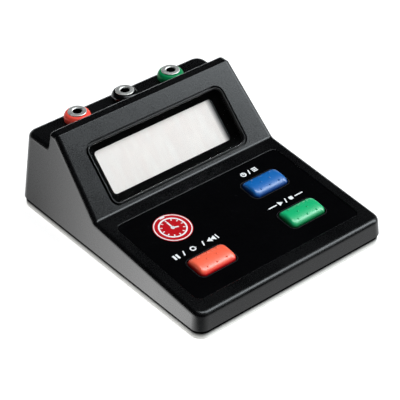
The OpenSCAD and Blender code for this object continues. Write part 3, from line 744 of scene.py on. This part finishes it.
# %% [markdown]
# ## The black film on the key panel
# The film is a thin printed sheet with three openings, a slightly rounded edge and a flat
# underside. A dark plane would do from afar, but the rounding of the edge, only a tenth of a
# millimetre, draws the fine line round the panel.

# %% Film
film_top = -0.3
film_edge = 0.1
film_fit = -0.15
overlay_film = moulded("overlay_film", (3, 3, 4), (6, 6, 7), 0.16, 0.24, 1200, 0.0003, 0.08)

film_levels = (film_edge, film_top, -film_depth)
film_walls = [rim_wall(film_size, film_fit, film_middle, *film_levels, -1)]
film_walls += [rim_wall(key_size, key_gap, place, *film_levels) for place in key_places.values()]
make_piece("key_film", placed(sheet(film_walls), on_panel), overlay_film, "case",
           ["overlay_panel"])

# %% [markdown]
# ## Shapes in ink
# The film carries plain marks in ink. A texture could hold them, but it would blur in a close view
# and be lost in the export. So each mark is a sheet of ink, an outline with its holes, only a few
# hundredths of a millimetre high.

# %% Shapes in ink
ink_t = 0.03
bar_round = 0.3
arrow_shape = np.array([[0.45, 0], [-0.4, 0.5], [-0.4, -0.5]])


def turned_loop(loop, degrees):
    """A loop turned about its own origin: (x cos a - y sin a, x sin a + y cos a)."""
    a = np.radians(degrees)
    return loop @ np.array([[np.cos(a), np.sin(a)], [-np.sin(a), np.cos(a)]])


def circle_loop(r, sides=40):
    """Points round a circle: (r cos a, r sin a)."""
    a = np.linspace(0, 2 * np.pi, sides, endpoint=False)
    return r * np.column_stack([np.cos(a), np.sin(a)])


def bar(w, l, at=(0, 0), degrees=0):
    """A small bar with rounded ends."""
    return [turned_loop(rounded_loop(w, l, bar_round * min(w, l), 4) + at, degrees)]


def ring(r, width):
    """A circle with a round hole."""
    return [circle_loop(r), circle_loop(r - width)]


def arrow(size, at=0, degrees=0):
    """A triangle that points to the right, then turned."""
    return [turned_loop(size * arrow_shape + [at, 0], degrees)]


def row(*signs):
    """Signs side by side: each is a list of shapes and its place along the row."""
    return [[loop + [x, 0] for loop in shape] for shapes, x in signs for shape in shapes]


def ink(shapes, middle, low):
    """Layers of ink: each shape is an outline and its holes, about a middle on the film."""
    patches = []
    for loops in shapes:
        patches += sheet([([loop + middle] * 2, [low, low + ink_t]) for loop in loops])
    return placed(patches, on_panel)


print("a ring of ink has", len(ink([ring(1, 0.2)], (0, 0), film_top)), "patches")

# %% [markdown]
# ## Marks on the film
# White marks stand beside each key: a clock and bars for the mode, a triangle and a square for
# start and stop, two bars, a turning ring and a double arrow for the reset. A round red field with
# a little stopwatch fills the free corner, and a fine grey line runs round each key. All are set
# out from the same few shapes, so that they look like one set.

# %% Marks
white_ink = moulded("white_ink", (222, 222, 222), (240, 240, 240), 0.4, 0.55, 3000, 0.004, 0.1)
grey_ink = moulded("grey_ink", (48, 48, 50), (60, 60, 62), 0.4, 0.55, 3000, 0.004, 0.1)
red_ink = moulded("red_ink", (172, 6, 18), (186, 12, 24), 0.35, 0.5, 3000, 0.004, 0.1)
mark_h, line_w = 2.8, 0.6
field_r, dial_r, hand_w = 8.5, 6.2, 0.7
field_place = (-24.9, 48.3)
outline_gaps = (key_gap + 0.5, key_gap + 0.35)

clock = [ring(mark_h / 2, line_w), bar(line_w, 0.8, (0, 0.3)), bar(0.8, line_w, (0.2, 0))]
bars = [bar(2.6, line_w, (0, y)) for y in (-0.9, 0, 0.9)]
slash = [bar(line_w, mark_h, (0, 0), -20)]
dash = [bar(4.6, line_w)]
halves = [bar(1, mark_h, (x, 0)) for x in (-0.8, 0.8)]
turning = [ring(mark_h / 2, line_w), arrow(1.3, 1.2)]
back_arrows = [arrow(mark_h, at, 180) for at in (0, 2)]
mode_marks = row((clock, -3.2), (slash, 0), (bars, 3.1))
start_marks = row((dash, -7.4), ([arrow(mark_h)], -3), (slash, 0), ([bar(2, 2)], 3), (dash, 7.4))
reset_marks = row((halves, -9.4), (slash, -5.4), (turning, -0.6), (slash, 4.8), (back_arrows, 10),
                  ([bar(line_w, mark_h)], 12.2))
dial = [ring(dial_r, hand_w), bar(hand_w, 4, (0, 2)), bar(hand_w, 2.6, (0, 1.3), -110),
        [circle_loop(0.9)], bar(2.4, 0.9, (0, 7.4)), ring(8.2, 0.45)]
dial += [bar(0.5, 1, (0, 4.8), 30 * hour) for hour in range(12)]
mark_patches = ink(mode_marks, (24.5, 56.9), film_top) + ink(start_marks, (24.7, 33.4), film_top)
mark_patches += ink(reset_marks, (-25.8, 33.4), film_top)
mark_patches += ink(dial, field_place, film_top + ink_t)
field_patches = ink([[circle_loop(field_r, 64)]], field_place, film_top)
key_lines = [[grown(key_size, d, place) for d in outline_gaps] for place in key_places.values()]
make_piece("white_marks", mark_patches, white_ink, "case")
make_piece("red_field", field_patches, red_ink, "case")
make_piece("key_lines", ink(key_lines, (0, 0), film_top), grey_ink, "case")

# %% [markdown]
# ## The shape of a key
# A key is a stack of rounded rectangles: a flange under the panel that keeps it in, a skirt, a wide
# soft edge and a crown, like a small pillow. A subdivided box comes close, but its corners swell
# where a moulded key stays tight. The height of a loop depends on how far in it is and, over the
# crown, on the place front to back. The loops shrink to a line along the middle. Small round pips
# give the finger a grip.

# %% Key shape
key_w, key_l, key_r = key_size
key_top, key_crown = 2.1, 1.3
key_soft, key_bulge = 1.9, 2.3
key_rows, side_points, corner_keep = 16, 7, 0.4
flange_low, flange_top, flange_out = -3.65, -2.65, 1.2
post_low, post_r = -4.4, 2
pip_r, pip_rise = 0.55, 0.3
pip_x, pip_y = 5.1, 3.2
pip_rows = {-1: (-1, 0, 1), 0: (-0.5, 0.5), 1: (-1, 0, 1)}


def crown_height(y):
    """The key's top without its soft edge, top - crown (2 y / length)^2: lower front and back."""
    return key_top - key_crown * (2 * y / key_l) ** 2


def key_height(y, d):
    """The crown's height above the film at y, times how far up the soft edge is at d from the
    outline: (1 - (1 - d / width)^k)^(1/k), a rounder curve than a quarter circle."""
    t = np.clip(1 - d / key_soft, 0, 1)
    return film_top + (crown_height(y) - film_top) * (1 - t ** key_bulge) ** (1 / key_bulge)


def key_loop(d):
    """The key's outline drawn in by d, with points along its sides and corners that stay soft."""
    r = max(key_r - corner_keep * d, 0)
    return rounded_loop(key_w - 2 * d, key_l - 2 * d, r, turn_steps, side_points)


def ball(r, sides=16, rings=9):
    """A ball: (r sin b cos a, r sin b sin a, r cos b), as a lathe of half a circle."""
    b = np.linspace(0, np.pi, rings)
    return turned_part(np.column_stack([r * np.sin(b), r * np.cos(b)]), sides)


def key_patches():
    """Flange and skirt, soft edge and crown in one stack of loops, then the post and the pips."""
    flange = key_loop(-flange_out)
    loops = [flange, flange, key_loop(0)]
    heights = [flange_low, flange_top, flange_top]
    for d in np.linspace(0, 1, key_rows)[:-1] ** 2 * key_l / 2:
        loops.append(key_loop(d))
        heights.append(key_height(loops[-1][:, 1], d))
    loops.append(loops[-1] * [1, 0])
    heights.append(key_top)
    post = [(0, post_low), (post_r, post_low), (post_r, flange_low), (0, flange_low)]
    patches = [stack(loops, heights), cap(flange, flange_low), turned_part(post, boss_sides)]
    for along, columns in pip_rows.items():
        y = along * pip_y
        z = key_height(y, key_l / 2 - abs(y)) + pip_rise - pip_r
        for column in columns:
            patches += placed([ball(pip_r)], lambda p: p + [column * pip_x, y, z])
    return patches


print("a key has", sum(len(faces) for points, faces in key_patches()), "faces before welding")

# %% [markdown]
# ## The keys
# The three keys are one shape in three colours. Towards its foot each key is painted a deeper,
# darker tone, as painted shade along its walls. A second material there would show a seam; a mask
# along the panel's square direction runs smoothly from one tone to the other.

# %% Keys
foot_h = 1.3
square = np.array([0, -np.sin(slope), np.cos(slope)])
foot = float(square @ on_panel(np.zeros((1, 3)))[0])
# The last tone of each key is painted shade, which its walls take towards the foot.
key_colours = {
    "mode": ("blue_key", (0, 92, 166), (2, 100, 176), (0, 52, 120)),
    "start_stop": ("green_key", (0, 172, 106), (4, 182, 114), (0, 120, 64)),
    "reset": ("red_key", (255, 98, 68), (255, 108, 76), (222, 24, 30)),
}
for label, (slot, first, second, foot_shade_tone) in key_colours.items():
    colour = moulded(slot, first, second, 0.29, 0.38, 2200, 0.006, 0.75)
    # Painted shade: the key runs into its darker tone towards the foot.
    shaded_to(colour, foot_shade_tone, square, foot + foot_h, foot)
    patches = placed(key_patches(), lambda p: on_panel(p + [*key_places[label], 0]))
    make_piece(label + "_cap", patches, colour, label + "_button", [label + "_key"])

# %% [markdown]
# ## The window
# The window is a raised black lip with a clear pane set back inside it. The lip's round top draws
# the light line inside the dark gap. Plain glass would dim the display twice, on the light's way in
# and on its way out. So the pane's shader lets the light of the lamps and the scattered light pass
# straight through, as a thin clear pane does.

# %% Window
lip_in, lip_r, lip_top = 0.45, 0.33, 0.2
lip_foot = 0.1
pane_top, pane_edge_r = -0.9, 0.1
pane_in = lip_in + 2 * lip_r + lip_foot
window_corner, lip_steps, pane_steps = 10, 9, 4
pane_ior = 1.3
lip_plastic = moulded("lip_plastic", (3, 3, 3), (6, 6, 6), 0.34, 0.38, 2600, 0, 0.4)
window_pane = moulded("window_pane", (246, 249, 250), (252, 254, 254), 0, 0.03, 300, 0)
tree = window_pane.node_tree
glass = tree.nodes["Principled BSDF"]
glass.inputs["Transmission Weight"].default_value = 1
glass.inputs["IOR"].default_value = pane_ior
rays = add_node(tree, "LightPath", {}).outputs
straight = worked_out(tree, "MAXIMUM", rays["Is Shadow Ray"], rays["Is Diffuse Ray"])
clear = add_node(tree, "BsdfTransparent", {}).outputs["BSDF"]
either = add_node(tree, "MixShader", {"Fac": straight, 1: glass.outputs["BSDF"], 2: clear})
put(tree, tree.nodes["Material Output"].inputs["Surface"], either.outputs["Shader"])

a = np.linspace(0, np.pi, lip_steps)
lip_insets = [lip_in, *(lip_in + lip_r * (1 - np.cos(a))), pane_in, lip_in]
lip_heights = [window_low, *(lip_top - lip_r + lip_r * np.sin(a)), window_low, window_low]
lip_loops = [grown(window_size, -d, window_middle, window_corner) for d in lip_insets]
lip_patches = [stack(lip_loops, lip_heights)]
loops, heights = rim_wall(window_size, -pane_in, window_middle, pane_edge_r, pane_top, window_low,
                          -1, pane_steps, window_corner)
pane_patches = [stack(loops, heights), cap(loops[0], pane_top), cap(loops[-1], window_low)]
make_piece("window_lip", placed(lip_patches, on_display), lip_plastic, "case")
make_piece("window_pane", placed(pane_patches, on_display), window_pane, "case",
           ["display_window"])

# %% [markdown]
# ## The display glass
# The display is switched off: a pale grey field with faint upright streaks. At its right end it
# runs into a painted shadow of the bezel. The solid glass has the right shape, so it stays and gets
# a finish of its own. The streaks are noise drawn out along the slope, and they take the place of
# the grain in mixing the two tones.

# %% Display
streak_scale, streak_detail, streak_span = (300, 60, 60), 2, (0.35, 0.65)
painted_bezel_shadow = (28.7, 31.5)
lcd_glass = moulded("lcd_glass", (229, 217, 211), (233, 224, 218), 0.3, 0.4, 900, 0, 0.2)
tree = lcd_glass.node_tree
place = tree.nodes["Texture Coordinate"].outputs["Object"]
drawn_out = add_node(tree, "Mapping", {"Vector": place, "Scale": streak_scale}).outputs["Vector"]
streaks = mapped(tree, noise(tree, drawn_out, 1, streak_detail), *streak_span, 0, 1)
put(tree, tree.nodes["Mix"].inputs["Factor"], streaks)
# Painted shadow of the bezel: the field's right end runs into near black.
shaded_to(lcd_glass, (8, 8, 9), (1, 0, 0), *painted_bezel_shadow)
nodes["lcd_panel"].data.materials.clear()
nodes["lcd_panel"].data.materials.append(lcd_glass)

# %% [markdown]
# ## The sockets
# Each socket is a coloured collar that seats on the shelf, with a nickel sleeve through it. Both
# are round, so both are lathes of a profile with eased corners. A Screw modifier could turn them
# too, but an array keeps the seam closed. The sleeve's bore is the real 4 mm bore that takes a
# plug, open to its full depth. Below its mouth the metal is painted dark, as painted shade inside
# the bore, so its tone falls off with depth.

# %% Sockets
socket_pitch, socket_back = 25.7, 7.6
collar_ease, sleeve_ease = 0.5, 0.1
sharp_turn = 40
bright_z, dark_z = seam_z + shelf_h + 4.35, seam_z + shelf_h + 4.05
collar_profile = [(3.075, -3), (3.5, -3), (3.5, 0), (5.8, 0), (6, 1), (5.9, 2.4), (5.1, 3.7),
                  (4.4, 4), (3.075, 4), (3.075, -3)]
sleeve_profile = [(0, -17.4), (3, -17.4), (3, 4), (4.15, 4), (4.15, 4.35), (3.95, 4.55), (2.4, 4.6),
                  (2, 4.2), (2, -12.4), (0, -12.4)]
collar_colours = {
    "red": ((246, 72, 58), (254, 88, 72), 0.28, 0.4, 2200, 0.004, 0.15),
    "black": ((4, 4, 5), (8, 8, 9), 0.16, 0.24, 2200, 0.002, 0.4),
    "green": ((4, 124, 70), (10, 140, 82), 0.28, 0.4, 2200, 0.004, 0.15),
}
socket_nickel = drawn_metal("socket_nickel", (222, 219, 214), (240, 238, 234), 0.46, 0.56)
# Painted shade: the sleeve's metal runs to near black just below the mouth of its bore.
shaded_to(socket_nickel, (10, 9, 8), (0, 0, 1), bright_z, dark_z)


def eased(profile, cut, steps=5):
    """A profile with soft corners: each inner corner becomes (1-t)^2 a + 2t(1-t) b + t^2 c, where
    a and c lie on its two sides, at most that far from the corner b."""
    p = np.asarray(profile, float)
    before, b, after = p[:-2], p[1:-1], p[2:]
    reach_in = np.linalg.norm(before - b, axis=1, keepdims=True)
    reach_out = np.linalg.norm(after - b, axis=1, keepdims=True)
    a = b + (before - b) * np.minimum(cut / reach_in, 0.5)
    c = b + (after - b) * np.minimum(cut / reach_out, 0.5)
    t = np.linspace(0, 1, steps)[None, :, None]
    curve = (1 - t) ** 2 * a[:, None] + 2 * t * (1 - t) * b[:, None] + t ** 2 * c[:, None]
    return np.concatenate([p[:1], curve.reshape(-1, 2), p[-1:]])


collar = turned_part(eased(collar_profile, collar_ease))
sleeve = turned_part(eased(sleeve_profile, sleeve_ease))
for place, (label, colour) in enumerate(collar_colours.items(), -1):
    stand = np.array([place * socket_pitch, shelf_back[0] - socket_back, shelf_h])
    plastic = moulded(label + "_collar", *colour)
    for kind, shape, material, slot in (("_collar", collar, plastic, label + "_collar"),
                                        ("_sleeve", sleeve, socket_nickel, "nickel")):
        patches = placed([shape], lambda p: in_case(p + stand))
        make_piece(label + kind, patches, material, "case", [label + "_socket" + kind],
                   sharp_turn)

# %% [markdown]
# ## Finishes of the solids that stay
# The base, its door, the feet, the screws and everything inside keep their solid shapes, because
# these are right as they are, and only need a finish. The pale base is painted darker towards the
# seam, as painted shade under the overhanging case. A weld joins the loose triangles, a small
# bevel takes the knife edge off what can be seen, and an edge split keeps flat faces flat while
# curved ones shade smoothly.

# %% Solids
bevel_angle, bevel_steps, split_angle = np.radians(40), 2, np.radians(32)
bevels = {"base_cover": 0.25, "battery_door": 0.15, "rubber_feet": 0.2, "case_screws": 0.15,
          "display_bezel": 0.1}
base_shade = (1.6, 3.6)
base_plastic = moulded("base_plastic", (232, 231, 226), (242, 241, 237), 0.45, 0.6, 2600, 0.02, 0.2)
# Painted shade: the base's side runs dark towards the seam, under the case's overhang.
shaded_to(base_plastic, (70, 70, 69), (0, 0, 1), *base_shade)
finishes = {
    base_plastic: ["base_cover", "battery_door"],
    bezel_plastic: ["display_bezel"],
    moulded("insulator", (226, 220, 198), (238, 233, 214), 0.4, 0.55): ["socket_washers"],
    drawn_metal("brass_strip", (196, 160, 92), (222, 188, 118), 0.22, 0.38):
        ["socket_tags", "battery_contacts"],
    drawn_metal("nickel", (206, 203, 198), (230, 228, 224), 0.36, 0.48): ["socket_nuts"],
    moulded("lead_sleeve", (150, 22, 24), (176, 34, 34), 0.4, 0.55):
        ["socket_leads", "battery_leads"],
    moulded("circuit_board", (18, 84, 46), (28, 104, 58), 0.3, 0.42, 1500, 0.004):
        ["display_board", "key_board"],
    moulded("strip_rubber", (196, 140, 140), (216, 162, 160), 0.55, 0.7): ["contact_strips"],
    moulded("chip_resin", (28, 28, 29), (40, 40, 42), 0.55, 0.7, 4000, 0.02): ["controller_chip"],
    drawn_metal("steel", (176, 176, 178), (208, 208, 210), 0.25, 0.4):
        ["quartz_crystal", "board_screws", "case_screws"],
    moulded("ceramic", (150, 112, 78), (178, 138, 98), 0.4, 0.55): ["board_capacitors"],
    moulded("switch_plastic", (40, 40, 42), (56, 56, 58), 0.4, 0.55):
        ["switch_bodies", "mode_stem", "start_stop_stem", "reset_stem"],
    moulded("ribbon_film", (172, 172, 172), (196, 196, 196), 0.4, 0.5): ["board_ribbon"],
    drawn_metal("cell_wrap", (176, 132, 52), (206, 166, 82), 0.25, 0.4): ["battery_cells"],
    moulded("foot_rubber", (34, 34, 35), (50, 50, 51), 0.7, 0.85, 3000, 0.02): ["rubber_feet"],
}
for material, names in finishes.items():
    for name in names:
        solid = nodes[name]
        solid.data.materials.clear()
        solid.data.materials.append(material)
        weld = solid.modifiers.new("weld", "WELD")
        weld.merge_threshold = WELD
        if name in bevels:
            bevel = solid.modifiers.new("soft_edges", "BEVEL")
            bevel.width = bevels[name] * MM
            bevel.segments = bevel_steps
            bevel.limit_method = "ANGLE"
            bevel.angle_limit = bevel_angle
        split = solid.modifiers.new("flat_faces", "EDGE_SPLIT")
        split.split_angle = split_angle
print("solids with a finish:", sum(len(names) for names in finishes.values()) + 1)

# %% [markdown]
# ## The floor
# The object stands on a white floor. White paper in strong light is brighter than the picture's
# white, and the walls of the case mirror that: bright beside the left wall, falling off towards
# the back, and dim in front, where the object shades it. More lamps would do that too, but they
# would bleach the colours. So the floor glows nearly white to the camera and takes the rest from
# the lamps, which keeps a faint shadow, and a mirrored ray meets it with the brightness of that
# place.

# %% Floor
floor_r, floor_sides = 5, 64
paper_grey, glow_level = 0.3, 0.9
# Stretches of the floor in metres, and the brightness at their two ends
front_edge, front_levels = (-0.056, -0.044), (0.05, 0.8)
beside_lean, beside_reach, beside_levels = 1.35, (-0.1025, -0.0185), (4.3, 0.75)
corner_reach = (-0.066, -0.046)

floor_points, floor_faces = cap(circle_loop(floor_r, floor_sides), 0)
floor_mesh = bpy.data.meshes.new("floor")
floor_mesh.from_pydata(floor_points.tolist(), [], floor_faces)
floor = bpy.data.objects.new("floor", floor_mesh)
scene.collection.objects.link(floor)
white_floor = bpy.data.materials.new("white_floor")
white_floor.use_nodes = True
tree = white_floor.node_tree
tree.nodes.remove(tree.nodes["Principled BSDF"])
rays = add_node(tree, "LightPath", {}).outputs
mirrored = worked_out(tree, "MAXIMUM", rays["Is Glossy Ray"], rays["Is Transmission Ray"])
place = add_node(tree, "TexCoord", {}).outputs["Object"]
spot = add_node(tree, "SeparateXYZ", {"Vector": place}).outputs
in_front = mapped(tree, spot["X"], *front_edge, *front_levels)
slant = worked_out(tree, "MULTIPLY_ADD", spot["X"], beside_lean, spot["Y"])
beside = mapped(tree, slant, *beside_reach, *beside_levels)
level = mapped(tree, spot["Y"], *corner_reach, in_front, beside)
share = mapped(tree, mirrored, 0, 1, glow_level, level)
glow = add_node(tree, "Emission", {"Strength": share}).outputs["Emission"]
paper = add_node(tree, "BsdfDiffuse", {"Color": (paper_grey, paper_grey, paper_grey, 1)})
whole = add_node(tree, "AddShader", {0: paper.outputs["BSDF"], 1: glow}).outputs["Shader"]
put(tree, tree.nodes["Material Output"].inputs["Surface"], whole)
floor_mesh.materials.append(white_floor)
print("floor is", 2 * floor_r, "m across")

# %% [markdown]
# ## The backdrop
# A studio has a white backdrop behind the object and a dark ceiling over it. Both could be built,
# but the world gives the same without a mesh. The camera sees plain white all round. A mirrored ray
# sees the backdrop only low down behind the object, which draws the light line along the ridge, and
# elsewhere the dark room. Scattered light gets a faint even fill.

# %% Backdrop
dark, fill = 0.004, 0.16
# Parts of the direction that a ray takes, each from -1 to 1
behind_reach, low_reach = (-0.1, 0.25), (0.02, 0.12)

world = bpy.data.worlds.new("studio")
scene.world = world
world.use_nodes = True
tree = world.node_tree
sky = tree.nodes["Background"].inputs
sky["Color"].default_value = (1, 1, 1, 1)
rays = add_node(tree, "LightPath", {}).outputs
way = add_node(tree, "TexCoord", {}).outputs["Generated"]
parts = add_node(tree, "SeparateXYZ", {"Vector": way}).outputs
behind_it = mapped(tree, parts["Y"], *behind_reach, 0, 1)
low_down = mapped(tree, parts["Z"], *low_reach, 1, dark)
backdrop = mapped(tree, behind_it, 0, 1, dark, low_down)
room = mapped(tree, rays["Is Diffuse Ray"], 0, 1, backdrop, fill)
put(tree, sky["Strength"], mapped(tree, rays["Is Camera Ray"], 0, 1, room, 1))
print("world:", world.name)

# %% [markdown]
# ## The lamps
# A long strip soft box over the right side lights the whole object and gives the display face its
# sheen and the keys their soft highlights. A low one behind picks out the back edge of the ridge.
# A sun lamp would be simpler, but its hard shadows don't belong to a product photograph.

# %% Lamps
lamp_colour = (0.93, 1, 1.04)


def soft_box(name, place, aim, size, power):
    """A rectangular area lamp that looks from its place at a point, in metres and watts."""
    lamp = bpy.data.lights.new(name, "AREA")
    lamp.shape = "RECTANGLE"
    lamp.size, lamp.size_y = size
    lamp.energy = power
    lamp.color = lamp_colour
    box = bpy.data.objects.new(name, lamp)
    facing = (Vector(aim) - Vector(place)).to_track_quat("-Z", "Y")
    box.matrix_world = Matrix.LocRotScale(Vector(place), facing, None)
    scene.collection.objects.link(box)


soft_box("top_box", (1.448, -0.738, 2.156), (0, 0, 0), (1.05, 4.2), 124)
soft_box("rim_box", (0.8, 1.27, 0.09), (0, 0, 0.05), (1.6, 0.12), 2.8)
